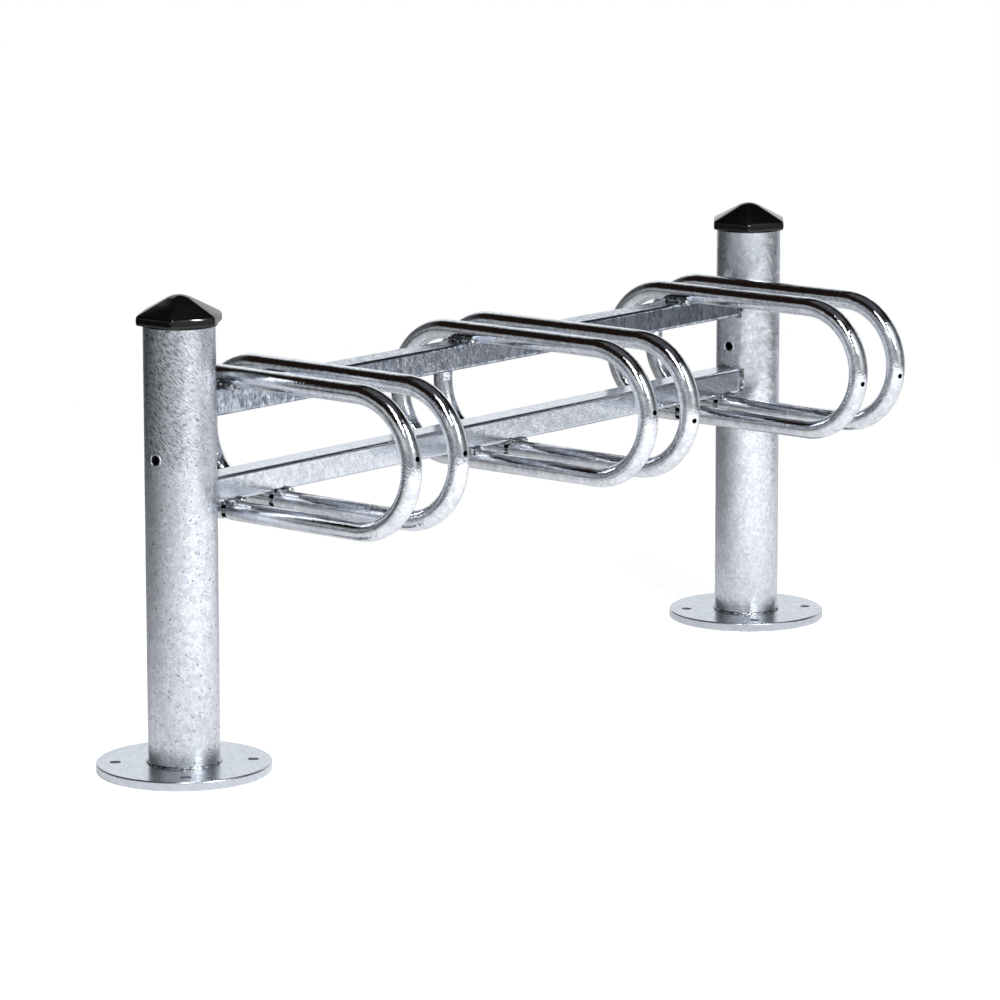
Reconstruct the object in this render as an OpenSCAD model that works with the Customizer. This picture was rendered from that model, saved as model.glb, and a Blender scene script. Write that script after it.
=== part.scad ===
// Three-place bicycle rack: two round posts on flanges, two rails between them
// and three pairs of closed tube hoops that hold the front wheels.
// Millimetres. The origin is on the ground at the axis of the left post.
// +X runs along the rails, +Z is up and the hoops reach furthest towards -Y.

/* [Posts] */
// Outer diameter of a post
post_d = 90; // [76:1:102]
// Wall of a post tube
post_wall = 3; // [2:0.5:5]
// Height of a post tube's upper edge above the ground
post_top = 574; // [540:1:700]
// Diameter of the hole drilled through a post
post_hole_d = 13; // [8:1:20]
// How far that hole lies below the middle of the gap between the rails
post_hole_drop = 7; // [0:1:12]

/* [Base plates] */
// Diameter of a base plate
base_d = 220; // [190:1:280]
// Thickness of a base plate
base_t = 12; // [8:1:20]
// Diameter of an anchor hole
anchor_d = 14; // [10:1:18]
// Distance from the rim of a base plate to the centre of an anchor hole
anchor_inset = 24; // [16:1:28]
// Leg of the weld between a post and its base plate
base_weld_leg = 3; // [2:0.5:6]

/* [Rails] */
// Depth of a rail from front to back
rail_w = 40; // [30:1:60]
// Height of a rail
rail_h = 34; // [25:1:45]
// Wall of a rail
rail_wall = 2.5; // [1.5:0.5:4]
// Outer corner radius of a rail
rail_corner_r = 4; // [3:0.5:8]
// Height of the lower rail's centre line above the ground
lower_rail_z = 351; // [300:1:370]
// Distance between the centre lines of the two rails
rail_rise = 110; // [90:1:125]
// Leg of the weld round a rail's end
rail_weld_leg = 3; // [2:0.5:5]

/* [Hoops] */
// Outer diameter of a hoop's tube
tube_d = 26; // [20:1:34]
// Wall of a hoop's tube
tube_wall = 2; // [1.5:0.5:3]
// Clear width of a wheel slot between the two hoops of a pair
slot_w = 62; // [50:1:80]
// Distance from the middle of one wheel slot to the next
slot_pitch = 463; // [380:1:560]
// Distance from a post's surface to the centre plane of the nearest hoop
end_gap = 32; // [25:1:95]
// Reach of a hoop in front of the posts' axes
hoop_front = 324; // [260:1:420]
// Reach of a hoop behind the posts' axes
hoop_back = 124; // [110:1:200]
// Diameter of the vent hole at a hoop's front
vent_d = 7; // [4:1:10]
// Angle of the first hoop's vent hole above mid-height, in degrees
vent_first_angle = 9; // [0:1:25]
// Angle of the other vent holes above mid-height, in degrees
vent_up_angle = 6; // [0:1:25]
// Angle of the vent holes below mid-height, in degrees
vent_down_angle = 7; // [0:1:25]
// Turn of the upper vent holes round their tubes towards the left post, in degrees
vent_up_turn = 7; // [0:1:30]
// Turn of the lower vent holes round their tubes towards the left post, in degrees
vent_down_turn = 22; // [0:1:30]
// Gap at the joint where the two ends of a hoop's tube meet
seam_gap = 4; // [1:0.5:6]
// Distance of that joint in front of the rails' centre plane
seam_forward = 10; // [0:1:14]
// Height of the bridge that closes the middle of the joint
seam_bridge_h = 10; // [6:1:16]

/* [Hoop welds] */
// Radius of a weld bead between a hoop and a rail
bead_r = 4.5; // [3:0.5:6]

/* [Caps] */
// Thickness of a cap's skirt at the middle of a flat
cap_wall = 4.2; // [2.5:0.1:6]
// Height of a cap's six-sided skirt
cap_skirt_h = 12; // [8:0.5:24]
// Height of the round collar below the skirt
cap_collar_h = 2; // [1:0.5:4]
// Thickness of that collar
cap_collar_wall = 2.3; // [1.5:0.1:4]
// How far the collar reaches down over the post
cap_overlap = 11.5; // [6:0.5:20]
// Height that a cap's faces would rise from the eaves to a sharp point
cap_rise = 29; // [18:1:40]
// Radius that rounds a cap's tip
cap_tip_r = 29; // [10:1:32]
// Turn of the left cap about its post, in degrees
cap_turn_left = 34; // [0:1:59]
// Turn of the right cap about its post, in degrees
cap_turn_right = 37; // [0:1:59]
// Length of the plug that a cap pushes into its post
plug_len = 22; // [12:1:40]
// Wall of the plug
plug_wall = 3; // [2:0.5:4]
// Clearance between a cap and its post, inside and outside
cap_fit = 0.2; // [0.1:0.05:0.4]

/* [Hidden] */
$fn = 64;

// Colours
zinc = [0.74, 0.77, 0.80];
zinc_weld = [0.60, 0.62, 0.65];
black_plastic = [0.05, 0.05, 0.06];

// Cuts run past the surfaces that they break through by this much
past = 1;

anchor_count = 4;
anchor_start_angle = 45;

// Positions along X
hoop_spacing = slot_w + tube_d;
first_slot_x = post_d / 2 + end_gap + hoop_spacing / 2;
last_slot_x = first_slot_x + 2 * slot_pitch;
right_post_x = last_slot_x + first_slot_x;

// Posts and plates
post_r = post_d / 2;
post_bore_r = post_r - post_wall;
anchor_circle_r = base_d / 2 - anchor_inset;

// Rails
upper_rail_z = lower_rail_z + rail_rise;
upper_rail_top = upper_rail_z + rail_h / 2;
lower_rail_bottom = lower_rail_z - rail_h / 2;
rail_gap_z = (lower_rail_z + upper_rail_z) / 2;
post_hole_z = rail_gap_z - post_hole_drop;

// Hoops: the upper run lies on the upper rail, the lower run under the lower rail
tube_r = tube_d / 2;
tube_bore_r = tube_r - tube_wall;
upper_run_z = upper_rail_top + tube_r;
lower_run_z = lower_rail_bottom - tube_r;
bend_r = (upper_run_z - lower_run_z) / 2;
bend_z = (upper_run_z + lower_run_z) / 2;
front_bend_y = -(hoop_front - tube_r - bend_r);
back_bend_y = hoop_back - tube_r - bend_r;

// Weld beads in the corner between a hoop's run and a rail
bead_lift = bead_r / 3;
bead_offset = sqrt(pow(tube_r + bead_lift, 2) - pow(tube_r - bead_lift, 2));
bead_front_y = -rail_w / 2 - bead_r / 2;
bead_back_y = rail_w / 2 - rail_corner_r;

// Caps
cap_bottom_z = post_top - cap_overlap;
cap_skirt_z = cap_bottom_z + cap_collar_h;
cap_eaves_z = cap_skirt_z + cap_skirt_h;
cap_collar_r = post_r + cap_fit + cap_collar_wall;
cap_flat_r = post_r + cap_fit + cap_wall;
cap_corner_r = cap_flat_r / cos(30);
cap_slope = atan(cap_rise / cap_flat_r);
cap_point_z = cap_eaves_z + cap_rise;
cap_tip_z = cap_point_z - cap_tip_r * (1 / cos(cap_slope) - 1);
cap_round_z = cap_tip_z - cap_tip_r * (1 - cos(cap_slope));
plug_r = post_bore_r - cap_fit;
cap_hollow_h = (cap_point_z - post_top) * 0.75;

function slot_x(pair) = first_slot_x + (pair - 1) * slot_pitch;
function hoop_x(pair, side) = slot_x(pair) + side * hoop_spacing / 2;

// Base plate: a round flange with four anchor holes
module base_plate(x) {
    color(zinc)
    translate([x, 0, 0])
    difference() {
        cylinder(h = base_t, d = base_d, $fn = 96);
        for (i = [0 : anchor_count - 1])
            rotate(anchor_start_angle + i * 360 / anchor_count)
            translate([anchor_circle_r, 0, -past])
            cylinder(h = base_t + 2 * past, d = anchor_d);
    }
}

// Fillet weld that closes the corner between a post and its plate
module base_weld(x) {
    color(zinc_weld)
    translate([x, 0, base_t])
    rotate_extrude($fn = 96)
    polygon([[post_r, 0], [post_r + base_weld_leg, 0], [post_r, base_weld_leg]]);
}

// Post: an open tube that stands on its plate, drilled through along X
module post(x) {
    color(zinc)
    translate([x, 0, 0])
    difference() {
        translate([0, 0, base_t])
        cylinder(h = post_top - base_t, r = post_r, $fn = 96);
        translate([0, 0, base_t - past])
        cylinder(h = post_top - base_t + 2 * past, r = post_bore_r, $fn = 96);
        translate([-post_r - past, 0, post_hole_z])
        rotate([0, 90, 0])
        cylinder(h = post_d + 2 * past, d = post_hole_d);
    }
}

// Six-sided point of a cap, with its tip rounded by a ball that touches all six faces
module cap_point() {
    intersection() {
        translate([0, 0, cap_eaves_z])
        cylinder(h = cap_rise, r1 = cap_corner_r, r2 = 0, $fn = 6);
        union() {
            translate([0, 0, cap_eaves_z - past])
            cylinder(h = cap_round_z - cap_eaves_z + past, r = cap_corner_r + past);
            translate([0, 0, cap_tip_z - cap_tip_r])
            sphere(r = cap_tip_r);
        }
    }
}

// Cap: round collar and six-sided skirt over the post, pointed top and a hollow plug inside it
module cap(x, turn) {
    color(black_plastic)
    translate([x, 0, 0])
    rotate(turn)
    difference() {
        union() {
            difference() {
                union() {
                    translate([0, 0, cap_bottom_z])
                    cylinder(h = cap_collar_h + past, r = cap_collar_r);
                    translate([0, 0, cap_skirt_z])
                    cylinder(h = cap_skirt_h, r = cap_corner_r, $fn = 6);
                    cap_point();
                }
                translate([0, 0, cap_bottom_z - past])
                cylinder(h = cap_overlap + past, r = post_r + cap_fit);
            }
            translate([0, 0, post_top - plug_len])
            cylinder(h = plug_len + past, r = plug_r);
        }
        translate([0, 0, post_top - plug_len - past])
        cylinder(h = plug_len + past, r = plug_r - plug_wall);
        translate([0, 0, post_top - past / 2])
        cylinder(h = cap_hollow_h, r1 = plug_r - plug_wall, r2 = cap_tip_r / 8);
    }
}

// Rounded rectangle with true arcs at its corners, centred
module round_rect(w, h, r) {
    square([w - 2 * r, h], center = true);
    square([w, h - 2 * r], center = true);
    for (i = [-1, 1], j = [-1, 1])
        translate([i * (w / 2 - r), j * (h / 2 - r)])
        circle(r = r);
}

// A rail's profile drawn out along X between the posts' axes, grown by a margin
module rail_bar(z, grow) {
    translate([0, 0, z])
    rotate([90, 0, 90])
    linear_extrude(right_post_x)
    round_rect(rail_w + 2 * grow, rail_h + 2 * grow, rail_corner_r + grow);
}

// Space taken by the post at x, grown by a margin
module post_space(x, grow) {
    translate([x, 0, 0])
    cylinder(h = post_top, r = post_r + grow, $fn = 96);
}

// Rail: a rectangular tube whose ends are cut to the curve of the posts
module rail(z) {
    color(zinc)
    difference() {
        rail_bar(z, 0);
        translate([-past, 0, 0])
        rail_bore(z);
        post_space(0, 0);
        post_space(right_post_x, 0);
    }
}

// Hollow of a rail, longer than the rail itself
module rail_bore(z) {
    bore_corner_r = max(rail_corner_r - rail_wall, 0.5);
    translate([0, 0, z])
    rotate([90, 0, 90])
    linear_extrude(right_post_x + 2 * past)
    round_rect(rail_w - 2 * rail_wall, rail_h - 2 * rail_wall, bore_corner_r);
}

// Weld bead that runs round a rail's end along the post
module rail_weld(x, z) {
    color(zinc_weld)
    difference() {
        intersection() {
            rail_bar(z, rail_weld_leg);
            post_space(x, rail_weld_leg);
        }
        rail_bar(z, 0);
        post_space(x, 0);
    }
}

// Half of a hoop's bend, a half ring of round bar about (y, bend_z)
module half_bend(y, toward, r) {
    translate([0, y, bend_z])
    rotate([90, 0, toward * 90])
    rotate([0, 0, -90])
    rotate_extrude(angle = 180, $fn = 96)
    translate([bend_r, 0])
    circle(r = r);
}

// Straight run of a hoop between its two bends
module straight_run(z, r) {
    translate([0, front_bend_y, z])
    rotate([-90, 0, 0])
    cylinder(h = back_bend_y - front_bend_y, r = r);
}

// A closed hoop of round bar in the plane x = 0
module hoop_bar(r) {
    half_bend(front_bend_y, -1, r);
    half_bend(back_bend_y, 1, r);
    straight_run(upper_run_z, r);
    straight_run(lower_run_z, r);
}

// Block as long as the joint's gap, centred on the lower run
module seam_block(size) {
    translate([0, -seam_forward, lower_run_z])
    cube([size, seam_gap, size], center = true);
}

// Hoop: one bent tube, open at its joint, with a vent hole through its outer wall
module hoop(pair, side, vent_angle, vent_turn) {
    color(zinc)
    translate([hoop_x(pair, side), 0, 0])
    difference() {
        hoop_bar(tube_r);
        hoop_bar(tube_bore_r);
        seam_block(tube_d + 2 * past);
        translate([0, front_bend_y, bend_z])
        rotate([90 - vent_angle, 0, 0])
        translate([0, 0, bend_r])
        rotate([0, -vent_turn, 0])
        cylinder(h = tube_r + past, d = vent_d);
    }
}

// The two bridges of weld that close the middle of a hoop's joint
module seam_weld(pair) {
    color(zinc_weld)
    for (side = [-1, 1])
        translate([hoop_x(pair, side), -seam_forward, lower_run_z])
        difference() {
            intersection() {
                rotate([90, 0, 0])
                cylinder(h = seam_gap, r = tube_r, center = true);
                cube([tube_d + past, seam_gap + past, seam_bridge_h], center = true);
            }
            rotate([90, 0, 0])
            cylinder(h = seam_gap + past, r = tube_bore_r, center = true);
        }
}

// Bead in the corner of a run and a rail: both sides of the tube and across its front
module bead_loop() {
    for (i = [-1, 1])
        translate([i * bead_offset, bead_front_y - bead_r, bead_lift])
        rotate([-90, 0, 0])
        cylinder(h = bead_back_y - bead_front_y + bead_r, r = bead_r);
    translate([-bead_offset, bead_front_y, bead_lift])
    rotate([0, 90, 0])
    cylinder(h = 2 * bead_offset, r = bead_r * 0.8);
}

// Weld of one hoop on the face of a rail that lies at z = 0
module joint_weld() {
    difference() {
        bead_loop();
        translate([0, -rail_w, tube_r])
        rotate([-90, 0, 0])
        cylinder(h = 2 * rail_w, r = tube_r);
        translate([-hoop_spacing / 2, 0, -rail_h / 2])
        rotate([90, 0, 90])
        linear_extrude(hoop_spacing)
        round_rect(rail_w, rail_h, rail_corner_r);
    }
}

// Welds of one pair of hoops, on top of the upper rail or under the lower rail
module hoop_weld(pair, face_z, turn) {
    color(zinc_weld)
    for (side = [-1, 1])
        translate([hoop_x(pair, side), 0, face_z])
        rotate([0, turn, 0])
        joint_weld();
}

module base_plate_left() { base_plate(0); }
module base_plate_right() { base_plate(right_post_x); }
module base_weld_left() { base_weld(0); }
module base_weld_right() { base_weld(right_post_x); }
module post_left() { post(0); }
module post_right() { post(right_post_x); }
module cap_left() { cap(0, cap_turn_left); }
module cap_right() { cap(right_post_x, cap_turn_right); }

base_plate_left();
base_plate_right();
base_weld_left();
base_weld_right();
post_left();
post_right();
cap_left();
cap_right();
rail(upper_rail_z);  // upper_rail
rail(lower_rail_z);  // lower_rail
rail_weld(0, upper_rail_z);  // rail_weld_upper_left
rail_weld(right_post_x, upper_rail_z);  // rail_weld_upper_right
rail_weld(0, lower_rail_z);  // rail_weld_lower_left
rail_weld(right_post_x, lower_rail_z);  // rail_weld_lower_right
hoop(1, -1, vent_first_angle, vent_up_turn);  // hoop_1_left
hoop(1, 1, vent_up_angle, vent_up_turn);  // hoop_1_right
hoop(2, -1, vent_up_angle, vent_up_turn);  // hoop_2_left
hoop(2, 1, -vent_down_angle, vent_down_turn);  // hoop_2_right
hoop(3, -1, -vent_down_angle, vent_down_turn);  // hoop_3_left
hoop(3, 1, -vent_down_angle, vent_down_turn);  // hoop_3_right
hoop_weld(1, upper_rail_top, 0);  // hoop_weld_upper_1
hoop_weld(2, upper_rail_top, 0);  // hoop_weld_upper_2
hoop_weld(3, upper_rail_top, 0);  // hoop_weld_upper_3
hoop_weld(1, lower_rail_bottom, 180);  // hoop_weld_lower_1
hoop_weld(2, lower_rail_bottom, 180);  // hoop_weld_lower_2
hoop_weld(3, lower_rail_bottom, 180);  // hoop_weld_lower_3
seam_weld(1);  // seam_weld_1
seam_weld(2);  // seam_weld_2
seam_weld(3);  // seam_weld_3
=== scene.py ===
import math

import bpy
from mathutils import Matrix, Vector


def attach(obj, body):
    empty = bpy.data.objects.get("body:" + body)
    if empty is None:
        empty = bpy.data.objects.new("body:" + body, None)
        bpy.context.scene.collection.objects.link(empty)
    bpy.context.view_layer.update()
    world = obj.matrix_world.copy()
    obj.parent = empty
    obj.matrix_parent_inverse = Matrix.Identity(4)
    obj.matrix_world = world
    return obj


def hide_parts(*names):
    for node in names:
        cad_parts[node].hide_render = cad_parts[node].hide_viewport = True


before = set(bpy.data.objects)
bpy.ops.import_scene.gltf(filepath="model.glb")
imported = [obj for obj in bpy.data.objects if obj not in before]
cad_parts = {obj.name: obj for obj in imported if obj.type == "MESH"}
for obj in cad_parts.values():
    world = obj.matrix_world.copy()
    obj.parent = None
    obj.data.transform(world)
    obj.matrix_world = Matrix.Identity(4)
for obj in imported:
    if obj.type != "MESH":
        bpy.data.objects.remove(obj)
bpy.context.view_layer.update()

# Camera.
# It stands 5.6 m from the near post and 1.4 m above the ground, with a long lens.
# Its place, turn and shift were fitted to the outlines of the posts, rails and hoops.
camera_place = (-4.0245, -3.8804, 1.4165)
camera_turn, camera_tilt, camera_roll = -50.143, 90 - 8.950, -0.069
lens_length = 164.99
sensor_width = 36
lens_shift = (-0.0037, -0.1560)
camera = bpy.data.objects.new("photo_camera", bpy.data.cameras.new("photo_camera"))
bpy.context.scene.collection.objects.link(camera)
camera.data.lens = lens_length
camera.data.sensor_width = sensor_width
camera.data.shift_x, camera.data.shift_y = lens_shift
turn = Matrix.Rotation(math.radians(camera_turn), 4, "Z")
tilt = Matrix.Rotation(math.radians(camera_tilt), 4, "X")
roll = Matrix.Rotation(math.radians(camera_roll), 4, "Z")
camera.matrix_world = Matrix.Translation(camera_place) @ turn @ tilt @ roll
bpy.context.scene.camera = camera

# Studio.
# A sheet of white paper as the floor, pale panels all round with dark gaps between them, and a
# dark ceiling. A tall strip lamp stands beside the camera and a shorter one to its right.
node_gap = 190


def colour(code):
    """An sRGB hex code as a linear colour."""
    parts = [int(code[i:i + 2], 16) / 255 for i in (0, 2, 4)]
    return [p / 12.92 if p <= 0.04045 else ((p + 0.055) / 1.055) ** 2.4 for p in parts] + [1]


def put(tree, kind, settings=None, links=None):
    """Adds a node with its settings and links.

    A setting goes to the socket of that name or number, and to the node itself if there is none.
    """
    node = tree.nodes.new(kind)
    node.location = (len(tree.nodes) * node_gap, 0)
    for name, value in (settings or {}).items():
        if isinstance(name, int) or name in node.inputs:
            node.inputs[name].default_value = value
        else:
            setattr(node, name, value)
    for name, source in (links or {}).items():
        tree.links.new(source, node.inputs[name])
    return node


def reckon(tree, operation, *terms):
    """The result of a math node whose terms are numbers or other nodes' outputs."""
    settings, links = {"operation": operation}, {}
    for place, term in enumerate(terms):
        (settings if isinstance(term, (int, float)) else links)[place] = term
    return put(tree, "ShaderNodeMath", settings, links).outputs[0]


def rescale(tree, value, low, high, new_low=0.0, new_high=1.0, curve="LINEAR"):
    """A value's place between low and high, on a new scale and held to its ends."""
    settings = {"From Min": low, "From Max": high, "To Min": new_low, "To Max": new_high,
                "interpolation_type": curve}
    return put(tree, "ShaderNodeMapRange", settings, {"Value": value}).outputs["Result"]


def blend(tree, share, first, second):
    """A colour that passes from the first to the second; each is a colour or a node's output."""
    settings, links = {"data_type": "RGBA"}, {0: share}
    for place, term in ((6, first), (7, second)):
        (settings if isinstance(term, (list, tuple)) else links)[place] = term
    return put(tree, "ShaderNodeMix", settings, links).outputs[2]


def fresh_tree(owner):
    """The emptied node tree of a material or a world."""
    owner.use_nodes = True
    owner.node_tree.nodes.clear()
    return owner.node_tree


def deselect():
    """Leaves nothing selected and no piece active."""
    bpy.ops.object.select_all(action="DESELECT")
    bpy.context.view_layer.objects.active = None


# The sheet ends soon on the left and right, so the upper parts mirror the dark studio floor
paper_left, paper_right = -1.8, 2.4
paper_front, paper_back = -2.6, 1.9
paper_middle = ((paper_left + paper_right) / 2, (paper_front + paper_back) / 2, 0)
deselect()
bpy.ops.mesh.primitive_plane_add(size=1, location=paper_middle)
floor = bpy.context.active_object
floor.name = "paper_floor"
floor.scale = (paper_right - paper_left, paper_back - paper_front, 1)
bpy.ops.object.transform_apply(location=True, rotation=True, scale=True)

# Seen directly the paper is almost pure white. The metal mirrors a sheet that is bright towards
# the lamps in front and dim at the back.
seen_glow = 0.86
front_y, front_glow = -0.95, 0.86
back_y, back_glow = 1.0, 0.06
paper = bpy.data.materials.new("white_background_paper")
tree = fresh_tree(paper)
ray = put(tree, "ShaderNodeLightPath").outputs
seen = reckon(tree, "MAXIMUM", ray["Is Camera Ray"], ray["Is Transmission Ray"])
seen = reckon(tree, "MULTIPLY", seen, seen_glow)
place = put(tree, "ShaderNodeTexCoord").outputs["Object"]
along_y = put(tree, "ShaderNodeSeparateXYZ", links={0: place}).outputs["Y"]
mirrored = rescale(tree, along_y, front_y, back_y, front_glow, back_glow)
glow = reckon(tree, "MULTIPLY_ADD", ray["Is Glossy Ray"], mirrored, seen)
light = put(tree, "ShaderNodeEmission", {"Color": (1, 1, 1, 1)}, {"Strength": glow}).outputs[0]
matt = put(tree, "ShaderNodeBsdfDiffuse", {"Color": colour("C4C5C7")}).outputs[0]
both = put(tree, "ShaderNodeAddShader", links={0: light, 1: matt}).outputs[0]
put(tree, "ShaderNodeOutputMaterial", links={"Surface": both})
floor.data.materials.append(paper)

# By compass angle, in degrees from +X towards +Y: the brightness of the panels, the brightness of
# the studio floor beyond the paper, and the height in degrees at which the dark ceiling begins
panels = [(-180, 0.7), (-158, 0.6), (-150, 0.42), (-130, 0.36), (-116, 0.58), (-97, 1.0),
          (-84, 0.85), (-68, 0.35), (-56, 0.12), (-16, 0.12), (-4, 1.05), (60, 1.05), (74, 0.1),
          (128, 0.1), (138, 0.38), (150, 0.4), (164, 0.7), (180, 0.7)]
studio_floor = [(-180, 0.31), (-159, 0.3), (-134, 0.32), (-115, 0.47), (-97, 0.75), (-84, 0.5),
                (-66, 0.26), (-50, 0.2), (-22, 0.24), (-8, 0.6), (4, 0.66), (58, 0.6), (72, 0.05),
                (130, 0.04), (146, 0.07), (162, 0.18), (180, 0.31)]
ceiling_edge = [(-180, 18), (-150, 24), (-118, 44), (-66, 52), (-34, 34), (-10, 26), (27, 29),
                (50, 37), (62, 44), (74, 46), (90, 40), (115, 26), (137, 18), (180, 18)]
panel_tint = (0.95, 0.98, 1.0)
studio_floor_tint = (0.94, 0.97, 1.0)
haze_share, haze_top = 0.35, 0.3
haze_colour = (0.5, 0.52, 0.54, 1)
cloth_begins, cloth_full = 57, 68
ceiling_fade = (-0.02, 0.05)
ground_fade = (-0.06, -0.02)


def ring(tree, compass, levels):
    """The level of each compass angle, read from a list of angles and levels."""
    ramp = put(tree, "ShaderNodeValToRGB", links={"Fac": compass})
    stops = ramp.color_ramp.elements
    stops[0].color = [levels[0][1]] * 3 + [1]
    stops[-1].color = [levels[-1][1]] * 3 + [1]
    for angle, level in levels[1:-1]:
        stops.new((angle + 180) / 360).color = [level] * 3 + [1]
    return ramp.outputs["Color"]


def tinted(tree, level, tint):
    """A level of grey with a slight tint."""
    return put(tree, "ShaderNodeVectorMath", {"operation": "MULTIPLY", 1: tint}, {0: level}).outputs[0]


world = bpy.data.worlds.new("studio")
bpy.context.scene.world = world
tree = fresh_tree(world)
direction = put(tree, "ShaderNodeTexCoord").outputs["Generated"]
axes = put(tree, "ShaderNodeSeparateXYZ", links={0: direction}).outputs
compass = reckon(tree, "ARCTAN2", axes["Y"], axes["X"])
compass = rescale(tree, compass, -math.pi, math.pi)
height = reckon(tree, "ARCSINE", axes["Z"])
# Towards the ground the panels fade into pale haze, so nothing that the tubes mirror stops at a
# hard line
wall = tinted(tree, ring(tree, compass, panels), panel_tint)
haze = rescale(tree, height, 0.0, haze_top, haze_share, 0.0)
wall = blend(tree, haze, wall, haze_colour)
edge = ring(tree, compass, [(angle, math.radians(rise)) for angle, rise in ceiling_edge])
above = reckon(tree, "SUBTRACT", height, edge)
above = rescale(tree, above, *ceiling_fade, curve="SMOOTHSTEP")
room = blend(tree, above, wall, colour("1E1613"))
# Straight above hangs a grey cloth, paler than the ceiling round it
overhead = rescale(tree, height, math.radians(cloth_begins), math.radians(cloth_full))
room = blend(tree, overhead, room, colour("55565A"))
beyond = tinted(tree, ring(tree, compass, studio_floor), studio_floor_tint)
below = rescale(tree, height, *ground_fade, 1.0, 0.0)
room = blend(tree, below, room, beyond)
ray = put(tree, "ShaderNodeLightPath").outputs
backdrop = blend(tree, ray["Is Camera Ray"], room, (1, 1, 1, 1))
sky = put(tree, "ShaderNodeBackground", {"Strength": 1.0}, {"Color": backdrop}).outputs[0]
put(tree, "ShaderNodeOutputWorld", links={"Surface": sky})

lamp_aim = Vector((0.58, -0.1, 0.35))
lamp_reach = 2.6
# Name, compass angle, height angle, width, length and power of each lamp
lamps = (("strip_lamp", -148, 42, 0.2, 1.5, 20), ("front_lamp", -106, 33, 0.2, 1.0, 46))
for name, compass, height, width, length, power in lamps:
    lamp = bpy.data.objects.new(name, bpy.data.lights.new(name, "AREA"))
    bpy.context.scene.collection.objects.link(lamp)
    lamp.data.shape = "RECTANGLE"
    lamp.data.size = width
    lamp.data.size_y = length
    lamp.data.energy = power
    compass, height = math.radians(compass), math.radians(height)
    away = Vector((math.cos(compass) * math.cos(height), math.sin(compass) * math.cos(height),
                   math.sin(height)))
    facing = away.to_track_quat("Z", "Y").to_matrix().to_4x4()
    lamp.matrix_world = Matrix.Translation(lamp_aim + away * lamp_reach) @ facing
bpy.context.scene.view_settings.view_transform = "Standard"

# Base plates.
# Round steel flanges, flame cut, drilled for four anchors and hot-dip galvanised.
# The zinc rounds their rims and leaves a fine grain on the flat faces.
mm = 0.001
post_places = {"left": 0.0, "right": 1168 * mm}
post_radius = 45 * mm
plate_radius = 110 * mm
plate_height = 12 * mm
rim_round = 2 * mm
anchor_radius = 7 * mm
anchor_circle = 86 * mm
anchor_angles = (45, 135, 225, 315)
# Vertices nearer than this are at the same place
hair = 0.001 * mm


def pick(piece, kind, test):
    """Opens edit mode with those vertices, edges or faces selected whose middle passes the test."""
    if bpy.context.mode == "EDIT_MESH":
        bpy.ops.object.mode_set(mode="OBJECT")
    deselect()
    piece.select_set(True)
    bpy.context.view_layer.objects.active = piece
    bpy.ops.object.mode_set(mode="EDIT")
    bpy.ops.mesh.select_mode(type=kind)
    bpy.ops.mesh.select_all(action="DESELECT")
    bpy.ops.object.mode_set(mode="OBJECT")
    points = piece.data.vertices
    if kind == "VERT":
        for vertex in points:
            vertex.select = test(vertex.co)
    elif kind == "EDGE":
        for edge in piece.data.edges:
            edge.select = test((points[edge.vertices[0]].co + points[edge.vertices[1]].co) / 2)
    else:
        for face in piece.data.polygons:
            face.select = test(face.center)
    bpy.ops.object.mode_set(mode="EDIT")


def close_edit():
    """Back to object mode."""
    bpy.ops.object.mode_set(mode="OBJECT")


def change(piece, kind, **settings):
    """Adds a modifier with its settings and applies it."""
    deselect()
    piece.select_set(True)
    bpy.context.view_layer.objects.active = piece
    modifier = piece.modifiers.new(kind.lower(), kind)
    for name, value in settings.items():
        setattr(modifier, name, value)
    bpy.ops.object.modifier_apply(modifier=modifier.name)


def settle(piece, smooth_angle):
    """Puts the piece's place into its mesh and smooths its shading up to that angle."""
    deselect()
    piece.select_set(True)
    bpy.context.view_layer.objects.active = piece
    bpy.ops.object.transform_apply(location=True, rotation=True, scale=True)
    bpy.ops.object.shade_smooth_by_angle(angle=math.radians(smooth_angle))


def take_out(piece, cutter):
    """Cuts the cutter's space out of the piece and removes the cutter."""
    change(piece, "BOOLEAN", object=cutter, operation="DIFFERENCE", solver="EXACT")
    bpy.data.objects.remove(cutter, do_unlink=True)


def shift(piece, distance):
    """Moves the piece's mesh along X."""
    for vertex in piece.data.vertices:
        vertex.co.x += distance


def repeat(piece, name, distance):
    """A copy of the piece with its own mesh, moved along X."""
    twin = piece.copy()
    twin.data = piece.data.copy()
    twin.name = name
    bpy.context.scene.collection.objects.link(twin)
    shift(twin, distance)
    return twin


def coat(piece, material):
    """Gives the whole piece one material."""
    piece.data.materials.clear()
    piece.data.materials.append(material)


def finish_piece(piece, slot, *nodes):
    """Hangs the piece on the root body and hides the CAD nodes that it stands for; slot is not used."""
    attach(piece, "root")
    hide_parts(*nodes)


def noise(tree, place, size, detail, roughness=0.5):
    """A noise pattern with lumps of about that size in metres."""
    settings = {"Scale": 1 / size, "Detail": detail, "Roughness": roughness}
    return put(tree, "ShaderNodeTexNoise", settings, {"Vector": place}).outputs["Fac"]


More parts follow.
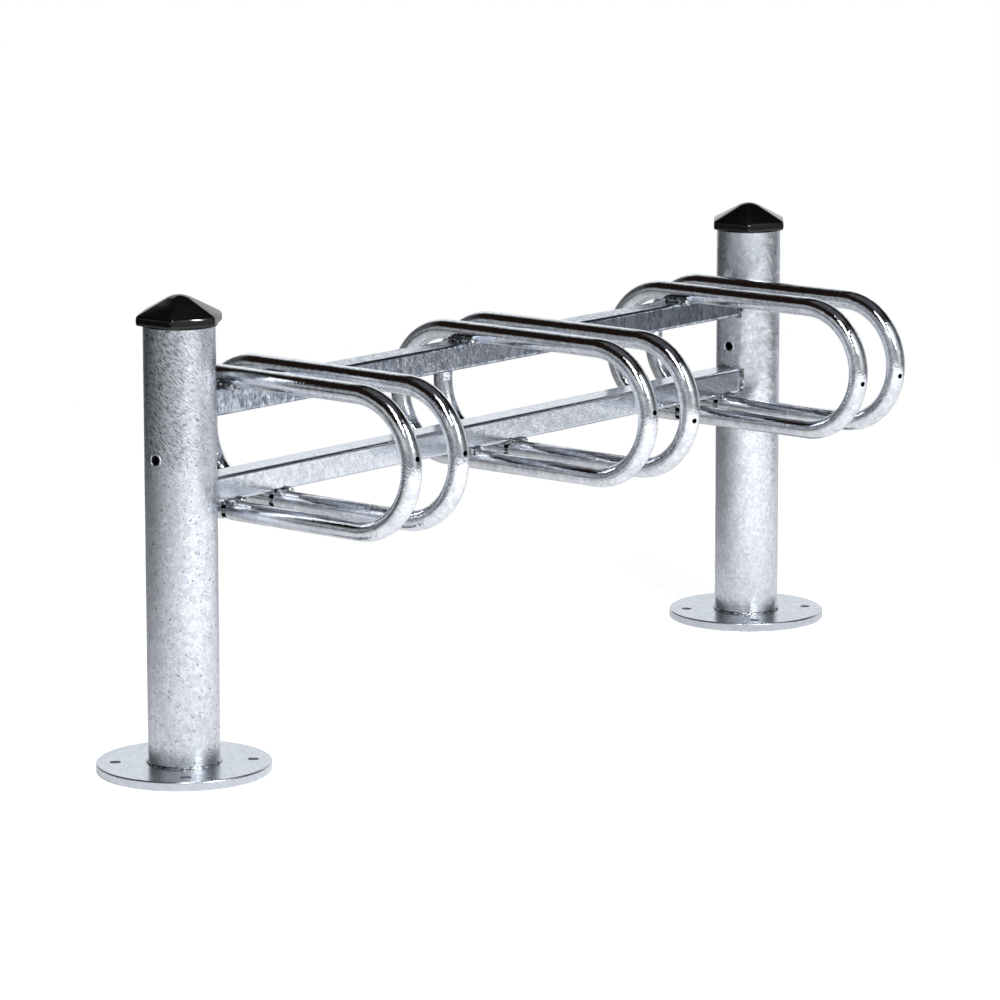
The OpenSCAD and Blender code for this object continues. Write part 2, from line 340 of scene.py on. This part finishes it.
def zinc(name, pale, dull, patch, stretch, rough, grain, wave, specks, offset, post_x=None, shade_side=None,
         scratch=0.5):
    """Hot-dip galvanised steel: bright zinc crystals, dulled in patches, over a slightly wavy skin.

    patch is the pattern's size in metres, stretch draws it out along x, y and z, rough holds the
    least and most roughness, grain and wave are heights of the skin in millimetres, and specks is
    the level of the noise above which a dark speck shows. The upper half of a post also has
    slanting streaks, wound about its axis at post_x, and scratch is their depth. On the side that
    shade_side gives, in degrees about the axis from the front, the streaks are coloured dark: painted
    shade and dark reflection.
    """
    fleck_size, crystal_size, speck_size, wave_size = 2.4 * mm, 6 * mm, 4 * mm, 26 * mm
    crystal_share, fleck_share = 0.3, 0.5
    all_dull, all_pale = 0.66, 1.1
    speck_edge = 0.04
    streak_turn, streak_size = math.radians(-50), (1.9 * mm, 1, 9 * mm)
    streaks_begin, streaks_full = 280 * mm, 400 * mm
    streak_low, streak_high, streak_share = 0.5, 0.58, 0.8
    material = bpy.data.materials.new(name)
    tree = fresh_tree(material)
    surface = put(tree, "ShaderNodeTexCoord").outputs["Object"]
    place = put(tree, "ShaderNodeMapping", {"Location": offset}, {"Vector": surface}).outputs[0]
    drawn = put(tree, "ShaderNodeMapping", {"Scale": stretch}, {"Vector": place}).outputs[0]
    cloud = noise(tree, drawn, patch, 7.0, 0.72)
    fleck = noise(tree, drawn, fleck_size, 2.0, 0.6)
    slow = noise(tree, drawn, wave_size, 2.0)
    crystal = put(tree, "ShaderNodeTexVoronoi", {"Scale": 1 / crystal_size, "Randomness": 1.0},
                  {"Vector": drawn}).outputs["Color"]
    crystal = put(tree, "ShaderNodeSeparateColor", links={0: crystal}).outputs[0]
    mixed = reckon(tree, "MULTIPLY_ADD", crystal, crystal_share, cloud)
    mixed = reckon(tree, "MULTIPLY_ADD", fleck, fleck_share, mixed)
    mixed = rescale(tree, mixed, all_dull, all_pale)
    rise = reckon(tree, "MULTIPLY", fleck, grain)
    rise = reckon(tree, "MULTIPLY_ADD", slow, wave, rise)
    tint = blend(tree, mixed, colour(dull), colour(pale))
    if post_x is not None:
        axes = put(tree, "ShaderNodeSeparateXYZ", links={0: surface}).outputs
        side = reckon(tree, "SUBTRACT", axes["X"], post_x)
        front = reckon(tree, "MULTIPLY", axes["Y"], -1.0)
        around = reckon(tree, "ARCTAN2", side, front)
        around = reckon(tree, "MULTIPLY", around, post_radius)
        wound = put(tree, "ShaderNodeCombineXYZ", links={"X": around, "Z": axes["Z"]}).outputs[0]
        slanting = {"vector_type": "TEXTURE", "Rotation": (0, streak_turn, 0), "Scale": streak_size}
        wound = put(tree, "ShaderNodeMapping", slanting, {"Vector": wound}).outputs[0]
        high = rescale(tree, axes["Z"], streaks_begin, streaks_full)
        streak = reckon(tree, "MULTIPLY", noise(tree, wound, 1.0, 3.0, 0.6), high)
        rise = reckon(tree, "MULTIPLY_ADD", streak, scratch, rise)
        ripple = reckon(tree, "MULTIPLY", slow, high)
        rise = reckon(tree, "MULTIPLY_ADD", ripple, wave, rise)
        # Painted shade: the streaks are coloured dark only on one side of the post
        shade_from, shade_to = (math.radians(angle) * post_radius for angle in shade_side)
        dark = rescale(tree, streak, streak_low, streak_high)
        dark = reckon(tree, "MULTIPLY", dark, rescale(tree, around, shade_from, shade_to))
        dark = reckon(tree, "MULTIPLY", dark, streak_share)
        tint = blend(tree, dark, tint, colour("484B54"))
    spot = noise(tree, place, speck_size, 3.0, 0.7)
    spot = rescale(tree, spot, specks, specks + speck_edge)
    skin = blend(tree, spot, tint, colour("4E453F"))
    shine = rescale(tree, mixed, 0.0, 1.0, rough[1], rough[0])
    relief = put(tree, "ShaderNodeBump", {"Strength": 1.0, "Distance": mm}, {"Height": rise}).outputs[0]
    shader = put(tree, "ShaderNodeBsdfPrincipled", {"Metallic": 1.0},
                 {"Base Color": skin, "Roughness": shine, "Normal": relief}).outputs[0]
    put(tree, "ShaderNodeOutputMaterial", links={"Surface": shader})
    return material


# The flat flanges cooled evenly, so they look pale and calm, with a fine grain
plate_zinc = zinc("galvanised_steel_flat_plate", "D6DAE1", "C8CDD5", patch=4 * mm, stretch=(1, 1, 1),
                  rough=(0.22, 0.3), grain=0.08, wave=0.25, specks=0.71, offset=(0.0, 0.0, 0.0))

deselect()
bpy.ops.mesh.primitive_cylinder_add(vertices=128, radius=plate_radius, depth=plate_height,
                                    location=(0, 0, plate_height / 2))
plate = bpy.context.active_object
plate.name = "base_flange_left"
settle(plate, 30)
pick(plate, "EDGE", lambda p: math.hypot(p.x, p.y) > plate_radius * 0.99
     and not hair < p.z < plate_height - hair)
bpy.ops.mesh.bevel(offset=rim_round, segments=4, affect="EDGES")
close_edit()
for angle in anchor_angles:
    deselect()
    angle = math.radians(angle)
    spot = (anchor_circle * math.cos(angle), anchor_circle * math.sin(angle), plate_height / 2)
    bpy.ops.mesh.primitive_cylinder_add(vertices=40, radius=anchor_radius, depth=3 * plate_height,
                                        location=spot)
    take_out(plate, bpy.context.active_object)
settle(plate, 32)
coat(plate, plate_zinc)
other_plate = repeat(plate, "base_flange_right", post_places["right"])
finish_piece(plate, "plate_zinc", "base_plate_left")
finish_piece(other_plate, "plate_zinc", "base_plate_right")

# Foot welds.
# One fillet weld runs round each post's foot. Under the zinc its ripples are soft.
# It is a little uneven and closes the corner between the post and its plate.
foot_bead = 2.1 * mm
foot_out = 0.4 * mm
foot_up = 0.3 * mm
foot_ripple, foot_ripple_size = 1.2 * mm, 5 * mm
# Thick zinc over ripples, its colour mottled at random from near white to dark grey; the dark grey is
# painted shade, put in for the shaded hollows between the ripples
weld_zinc = zinc("galvanised_weld_bead", "E6E9EE", "40444C", patch=5 * mm, stretch=(1, 1, 1),
                 rough=(0.12, 0.3), grain=0.5, wave=1.1, specks=0.55, offset=(3.1, 0.7, 0.2))


def unevenness(name, size, depth=2):
    """A soft cloud pattern of that grain size, by which a surface is made uneven."""
    cloud = bpy.data.textures.new(name, "CLOUDS")
    cloud.noise_scale = size
    cloud.noise_depth = depth
    return cloud


deselect()
bpy.ops.mesh.primitive_torus_add(major_radius=post_radius + foot_out, minor_radius=foot_bead,
                                 major_segments=220, minor_segments=14,
                                 location=(0, 0, plate_height + foot_up))
foot = bpy.context.active_object
foot.name = "foot_weld_left"
settle(foot, 60)
change(foot, "DISPLACE", texture=unevenness("foot_ripple", foot_ripple_size),
       texture_coords="GLOBAL", strength=foot_ripple, mid_level=0.5)
coat(foot, weld_zinc)
other_foot = repeat(foot, "foot_weld_right", post_places["right"])
finish_piece(foot, "weld_zinc", "base_weld_left")
finish_piece(other_foot, "weld_zinc", "base_weld_right")

# Posts.
# Round steel tubes, drilled through once and hot-dip galvanised. The zinc ran down them as
# they were drawn from the bath, so their mottling is drawn out and their skin is wavy.
post_wall = 3 * mm
post_top = 574 * mm
post_hole_radius = 6.5 * mm
post_hole_z = 399 * mm
hole_round = 1 * mm
hole_ridge = 1 * mm
hole_ridge_radius = post_hole_radius + 1.7 * mm
hole_ridge_sunk = 0.985
# The holes' outer rims lie beyond this distance from the post's axis
hole_rim_x = 44.1 * mm
post_wave, post_wave_size = 0.5 * mm, 60 * mm
post_zinc = {
    # Mottled and dull, with slanting streaks on its upper half, coloured dark on the left as painted shade
    "left": zinc("galvanised_steel_post_near", "E4E7ED", "C6CBD4", patch=4 * mm,
                 stretch=(1.3, 1.3, 1.1), rough=(0.22, 0.34), grain=0.2, wave=0.5, specks=0.63,
                 offset=(0.3, 0.1, 0.0), post_x=post_places["left"], shade_side=(20, -75)),
    # Smoother and brighter, with soft runs, coloured dark on its upper right as a painted dark reflection
    "right": zinc("galvanised_steel_post_far", "EAEDF3", "CFD5DE", patch=5 * mm,
                  stretch=(1.4, 1.4, 1.1), rough=(0.17, 0.27), grain=0.2, wave=0.9, specks=0.70,
                  offset=(0.0, 0.4, 0.8), post_x=post_places["right"], shade_side=(-20, 25)),
}


def add_on(piece, part):
    """Merges another part into the piece."""
    change(piece, "BOOLEAN", object=part, operation="UNION", solver="EXACT")
    bpy.data.objects.remove(part, do_unlink=True)


for side, x in post_places.items():
    deselect()
    length = post_top - plate_height
    bpy.ops.mesh.primitive_cylinder_add(vertices=128, radius=post_radius, depth=length,
                                        end_fill_type="NOTHING",
                                        location=(0, 0, plate_height + length / 2))
    post = bpy.context.active_object
    post.name = "post_tube_" + side
    settle(post, 30)
    pick(post, "EDGE", lambda p: plate_height + 1 * mm < p.z < post_top - 1 * mm)
    bpy.ops.mesh.subdivide(number_cuts=56)
    close_edit()
    change(post, "DISPLACE", texture=unevenness("post_wave_" + side, post_wave_size),
           texture_coords="LOCAL", strength=post_wave, mid_level=0.5)
    change(post, "SOLIDIFY", thickness=post_wall, offset=-1)
    # Zinc gathers in a low ridge about each drilled hole
    for ridge_x in (-post_radius, post_radius):
        deselect()
        bpy.ops.mesh.primitive_torus_add(major_radius=hole_ridge_radius, minor_radius=hole_ridge,
                                         major_segments=48, minor_segments=12,
                                         location=(ridge_x * hole_ridge_sunk, 0, post_hole_z),
                                         rotation=(0, math.pi / 2, 0))
        add_on(post, bpy.context.active_object)
    deselect()
    bpy.ops.mesh.primitive_cylinder_add(vertices=36, radius=post_hole_radius, depth=4 * post_radius,
                                        location=(0, 0, post_hole_z), rotation=(0, math.pi / 2, 0))
    take_out(post, bpy.context.active_object)
    # and rounds the holes' rims
    pick(post, "EDGE", lambda p: abs(p.x) > hole_rim_x
         and abs(math.hypot(p.y, p.z - post_hole_z) - post_hole_radius) < 0.2 * mm)
    bpy.ops.mesh.bevel(offset=hole_round, segments=3, affect="EDGES", clamp_overlap=True)
    bpy.ops.mesh.select_all(action="SELECT")
    bpy.ops.mesh.remove_doubles(threshold=hair)
    close_edit()
    settle(post, 40)
    shift(post, x)
    coat(post, post_zinc[side])
    finish_piece(post, "post_zinc", "post_" + side)

# Rails.
# Two rectangular steel tubes with rounded corners, coped to the posts and welded between them.
# Their flat faces show the zinc's vertical runs; the corners mirror the dark ceiling as a line.
rail_depth = 40 * mm
rail_height = 34 * mm
rail_wall = 2.5 * mm
rail_corner = 4 * mm
rail_levels = {"upper": 461 * mm, "lower": 351 * mm}
rail_length = post_places["right"]
bore_past = 20 * mm
cope_bite = 0.1 * mm
cope_depth = 80 * mm
rail_zinc = {
    # Strong runs of dull zinc from top to bottom
    "upper": zinc("galvanised_steel_upper_rail", "D6DCE6", "687386", patch=4 * mm,
                  stretch=(1.0, 1.0, 0.4), rough=(0.12, 0.26), grain=0.2, wave=0.6, specks=0.71,
                  offset=(0.0, 0.0, 0.5)),
    # Pale and even, slightly mottled
    "lower": zinc("galvanised_steel_lower_rail", "DEE2E9", "C2C8D2", patch=4 * mm,
                  stretch=(1.0, 1.0, 0.8), rough=(0.12, 0.24), grain=0.14, wave=0.4, specks=0.71,
                  offset=(0.5, 0.0, 0.0)),
}


def rounded_bar(reach, width, rise, corner, z):
    """A bar along X with four rounded corners."""
    deselect()
    bpy.ops.mesh.primitive_cube_add(size=1, location=(rail_length / 2, 0, z), scale=(reach, width, rise))
    bar = bpy.context.active_object
    settle(bar, 30)
    pick(bar, "EDGE", lambda p: abs(p.x - rail_length / 2) < 1 * mm)
    bpy.ops.mesh.bevel(offset=corner, segments=6, affect="EDGES")
    close_edit()
    return bar


for level, z in rail_levels.items():
    rail = rounded_bar(rail_length, rail_depth, rail_height, rail_corner, z)
    bore = rounded_bar(rail_length + bore_past, rail_depth - 2 * rail_wall, rail_height - 2 * rail_wall,
                       rail_corner - rail_wall, z)
    rail.name = "rail_tube_" + level
    take_out(rail, bore)
    for x in post_places.values():
        deselect()
        bpy.ops.mesh.primitive_cylinder_add(vertices=128, radius=post_radius - cope_bite,
                                            depth=cope_depth, location=(x, 0, z))
        take_out(rail, bpy.context.active_object)
    settle(rail, 40)
    coat(rail, rail_zinc[level])
    finish_piece(rail, "rail_zinc", level + "_rail")


# Rail end welds.
# A bead runs round each rail's end along the post. Its bumps and hollows are those of a weld
# laid by hand and then dipped in zinc.
def bead_from(node, name, voxel, lumps, lump_size, smoothing):
    """A weld's real surface, grown from a copy of the plain solid of the same weld."""
    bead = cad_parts[node].copy()
    bead.data = bead.data.copy()
    bead.name = name
    for key in list(bead.keys()):
        del bead[key]
    bpy.context.scene.collection.objects.link(bead)
    world_place = bead.matrix_world.copy()
    bead.parent = None
    bead.matrix_world = world_place
    bead.data.materials.clear()
    pick(bead, "VERT", lambda p: True)
    bpy.ops.mesh.remove_doubles(threshold=hair)
    close_edit()
    change(bead, "REMESH", mode="VOXEL", voxel_size=voxel)
    change(bead, "SMOOTH", factor=0.5, iterations=smoothing)
    change(bead, "DISPLACE", texture=unevenness(name, lump_size), texture_coords="GLOBAL",
           strength=lumps, mid_level=0.45)
    settle(bead, 60)
    bead.data.materials.append(weld_zinc)
    return bead


for level in rail_levels:
    for side in post_places:
        node = "rail_weld_" + level + "_" + side
        bead = bead_from(node, "rail_end_bead_" + level + "_" + side, voxel=0.7 * mm, lumps=3.0 * mm,
                         lump_size=4 * mm, smoothing=2)
        finish_piece(bead, "weld_zinc", node)

# Hoops.
# Each is one steel tube bent to a closed loop, butt jointed under the lower rail, drilled with a
# vent and dipped. The zinc is brighter here and mirrors the dark ceiling as a line along each run.
tube_radius = 13 * mm
tube_wall = 2 * mm
pitch = 463 * mm
first_slot = 121 * mm
spacing = 88 * mm
upper_run = 491 * mm
lower_run = 321 * mm
bend_radius = (upper_run - lower_run) / 2
bend_level = (upper_run + lower_run) / 2
front_bend = -226 * mm
back_bend = 26 * mm
seam_y = -10 * mm
seam_gap = 8 * mm
vent_radius = 3.5 * mm
vent_drill, vent_sunk = 14 * mm, 2 * mm
hoop_wave, hoop_wave_size = 0.25 * mm, 25 * mm
# Height angle of each vent about its bend's centre and its turn round the tube, in degrees
vents = {(1, "left"): (9, 7), (1, "right"): (6, 7), (2, "left"): (6, 7), (2, "right"): (-7, 22),
         (3, "left"): (-7, 22), (3, "right"): (-7, 22)}
run_steps = 24
short_run_steps = 6
bend_steps = 40
# Bright smooth zinc with a fine grain, which mirrors the studio in sharp bands
hoop_zinc = zinc("galvanised_steel_hoop_tube", "EDEFF3", "CACED6", patch=5 * mm,
                 stretch=(0.8, 0.8, 0.8), rough=(0.04, 0.11), grain=0.3, wave=0.25, specks=0.70,
                 offset=(0.0, 0.2, 0.1))
# Painted shade: the zinc inside the tubes is coloured dark and matt, so the vents and the open joints look
# black
bore_painted_shade = zinc("painted_shade_inside_tube", "3A3C40", "1C1D1F", patch=6 * mm, stretch=(1, 1, 1),
                 rough=(0.5, 0.7), grain=0.3, wave=0.5, specks=0.70, offset=(0.4, 0.2, 0.1))
deselect()
bpy.ops.mesh.primitive_circle_add(vertices=40, radius=tube_radius, fill_type="NOTHING",
                                  location=(0, seam_y + seam_gap / 2, lower_run),
                                  rotation=(math.pi / 2, 0, 0))
hoop = bpy.context.active_object
hoop.name = "hoop_pattern"
settle(hoop, 30)
pick(hoop, "VERT", lambda p: True)


def draw_out(distance, steps):
    """Extrudes the open end along Y in equal steps."""
    for step in range(steps):
        bpy.ops.mesh.extrude_edges_move(TRANSFORM_OT_translate={"value": (0, distance / steps, 0)})


def bend_round(y):
    """Turns the open end by half a circle about the X axis at that place."""
    bpy.ops.mesh.spin(steps=bend_steps, angle=-math.pi, center=(0, y, bend_level), axis=(1, 0, 0),
                      use_normal_flip=False)


draw_out(back_bend - (seam_y + seam_gap / 2), short_run_steps)
bend_round(back_bend)
draw_out(front_bend - back_bend, run_steps)
bend_round(front_bend)
draw_out(seam_y - seam_gap / 2 - front_bend, run_steps)
bpy.ops.mesh.select_all(action="SELECT")
bpy.ops.mesh.remove_doubles(threshold=0.01 * mm)
bpy.ops.mesh.normals_make_consistent(inside=False)
close_edit()
change(hoop, "DISPLACE", texture=unevenness("hoop_wave", hoop_wave_size), texture_coords="LOCAL",
       strength=hoop_wave, mid_level=1.0)
hoop.data.materials.append(hoop_zinc)
hoop.data.materials.append(bore_painted_shade)
# The inner faces take the second material, the painted shade
change(hoop, "SOLIDIFY", thickness=tube_wall, offset=-1, material_offset=1)
for pair in (1, 2, 3):
    for side, turned in (("left", -1), ("right", 1)):
        x = first_slot + (pair - 1) * pitch + turned * spacing / 2
        piece = repeat(hoop, "hoop_tube_%d_%s" % (pair, side), x)
        angle, vent_turn = (math.radians(part) for part in vents[pair, side])
        outward = Vector((0, -math.cos(angle), math.sin(angle)))
        drill = outward * math.cos(vent_turn) + Vector((-1, 0, 0)) * math.sin(vent_turn)
        bend_middle = Vector((x, front_bend, bend_level))
        spot = bend_middle + outward * bend_radius + drill * (tube_radius - vent_sunk)
        deselect()
        bpy.ops.mesh.primitive_cylinder_add(vertices=28, radius=vent_radius, depth=vent_drill, location=spot,
                                            rotation=drill.to_track_quat("Z", "Y").to_euler())
        take_out(piece, bpy.context.active_object)
        settle(piece, 40)
        finish_piece(piece, "hoop_zinc", "hoop_%d_%s" % (pair, side))
bpy.data.objects.remove(hoop, do_unlink=True)

# Hoop welds.
# Beads fix each hoop on top of the upper rail and under the lower rail, on both sides of the
# tube and across the front. Runs and drops of zinc hang about them.
for level in rail_levels:
    for pair in (1, 2, 3):
        node = "hoop_weld_%s_%d" % (level, pair)
        bead = bead_from(node, "hoop_bead_%s_%d" % (level, pair), voxel=0.8 * mm, lumps=3.8 * mm,
                         lump_size=4.5 * mm, smoothing=2)
        finish_piece(bead, "weld_zinc", node)

# Seam tacks.
# The two ends of a hoop's tube meet under the lower rail. A short tack on each side of the tube
# bridges the middle of the gap, hot-dipped with it; above and below, the gap stays open and shows
# the painted shade inside the tube.
# A tack grown from its plain solid is this long. Here it is drawn out to hold on to both ends of
# the tube, and made lower.
grown_tack_length = 4.5 * mm
tack_hold = 1 * mm
tack_share = 0.6
tack_scale = (1, (seam_gap + tack_hold) / grown_tack_length, tack_share)
for pair in (1, 2, 3):
    node = "seam_weld_%d" % pair
    tack = bead_from(node, "seam_tack_%d" % pair, voxel=0.4 * mm, lumps=0.8 * mm, lump_size=3 * mm,
                     smoothing=1)
    pick(tack, "VERT", lambda p: True)
    bpy.ops.transform.resize(value=tack_scale, center_override=(0, seam_y, lower_run))
    close_edit()
    finish_piece(tack, "weld_zinc", node)

# Post caps.
# Moulded black plastic: a round collar and a six-sided skirt that reach over the post, and a low
# point. The mould gives them a smooth gloss, softly rounded ridges and a rounded tip.
cap_turns = {"left": 34, "right": 37}
cap_fit = 0.2 * mm
cap_wall = 4.2 * mm
cap_bottom = 562.5 * mm
cap_skirt = 564.5 * mm
cap_collar = 47.5 * mm
cap_eaves = 576.5 * mm
cap_corner = (post_radius + cap_fit + cap_wall) / math.cos(math.radians(30))
cap_rise = 29 * mm
cap_tip = 600.87 * mm
cap_round = 3.2 * mm
collar_round = 0.8 * mm
cap_bore = post_radius + cap_fit
cap_bore_depth = 24 * mm
plug_outer = 41.8 * mm
plug_length = 22 * mm
plug_wall = 3 * mm
collar_overlap = 1 * mm
plug_overlap = 2 * mm
bloom_size, peel_size, peel_height = 16 * mm, 1.5 * mm, 0.04 * mm
least_rough, most_rough = 0.05, 0.12

# Deep black and glossy, with the faint orange peel of the mould
cap_plastic = bpy.data.materials.new("moulded_black_polyethylene")
tree = fresh_tree(cap_plastic)
place = put(tree, "ShaderNodeTexCoord").outputs["Object"]
bloom = noise(tree, place, bloom_size, 4.0)
tint = blend(tree, bloom, colour("080706"), colour("110F10"))
gloss = rescale(tree, bloom, 0.0, 1.0, least_rough, most_rough)
orange_peel = noise(tree, place, peel_size, 2.0)
relief = put(tree, "ShaderNodeBump", {"Strength": 0.5, "Distance": peel_height},
             {"Height": orange_peel}).outputs[0]
shader = put(tree, "ShaderNodeBsdfPrincipled", {"IOR": 1.45},
             {"Base Color": tint, "Roughness": gloss, "Normal": relief}).outputs[0]
put(tree, "ShaderNodeOutputMaterial", links={"Surface": shader})

# Reaches and heights of the rings that shape the point, from the eaves to the rounded tip
cap_rings = ((0.55, cap_eaves + 0.45 * cap_rise), (0.36, cap_eaves + 0.635 * cap_rise),
             (0.24, cap_tip - 2.4 * mm), (0.13, cap_tip - 0.75 * mm), (0.05, cap_tip - 0.1 * mm))
for side, x in post_places.items():
    deselect()
    height = cap_eaves - cap_skirt
    bpy.ops.mesh.primitive_cylinder_add(vertices=6, radius=cap_corner, depth=height,
                                        location=(0, 0, cap_skirt + height / 2),
                                        rotation=(0, 0, math.radians(90)))
    cap = bpy.context.active_object
    cap.name = "post_cap_" + side
    settle(cap, 20)
    pick(cap, "FACE", lambda p: p.z > cap_eaves - 0.1 * mm)
    share, level = 1.0, cap_eaves
    for new_share, new_level in cap_rings:
        bpy.ops.mesh.extrude_region_move(TRANSFORM_OT_translate={"value": (0, 0, new_level - level)})
        bpy.ops.transform.resize(value=(new_share / share, new_share / share, 1),
                                 center_override=(0, 0, new_level))
        share, level = new_share, new_level
    close_edit()
    change(cap, "BEVEL", width=cap_round, segments=5, limit_method="ANGLE",
           angle_limit=math.radians(14), harden_normals=False)
    deselect()
    height = cap_skirt - cap_bottom + collar_overlap
    bpy.ops.mesh.primitive_cylinder_add(vertices=96, radius=cap_collar, depth=height,
                                        location=(0, 0, cap_bottom + height / 2))
    collar = bpy.context.active_object
    settle(collar, 30)
    pick(collar, "EDGE", lambda p: p.z < cap_bottom + 0.01 * mm
         and math.hypot(p.x, p.y) > 0.99 * cap_collar)
    bpy.ops.mesh.bevel(offset=collar_round, segments=3, affect="EDGES")
    close_edit()
    add_on(cap, collar)
    deselect()
    bpy.ops.mesh.primitive_cylinder_add(vertices=96, radius=cap_bore, depth=cap_bore_depth,
                                        location=(0, 0, post_top - cap_bore_depth / 2))
    take_out(cap, bpy.context.active_object)
    deselect()
    bpy.ops.mesh.primitive_cylinder_add(vertices=64, radius=plug_outer, depth=plug_length + plug_overlap,
                                        location=(0, 0, post_top - plug_length / 2 + plug_overlap / 2))
    plug = bpy.context.active_object
    settle(plug, 30)
    pick(plug, "FACE", lambda p: p.z < post_top - plug_length + 0.1 * mm)
    bpy.ops.mesh.inset(thickness=plug_wall)
    bpy.ops.mesh.extrude_region_move(TRANSFORM_OT_translate={"value": (0, 0, plug_length)})
    close_edit()
    add_on(cap, plug)
    cap.rotation_euler = (0, 0, math.radians(cap_turns[side]))
    settle(cap, 30)
    shift(cap, x)
    coat(cap, cap_plastic)
    finish_piece(cap, "cap_plastic", "cap_" + side)

deselect()
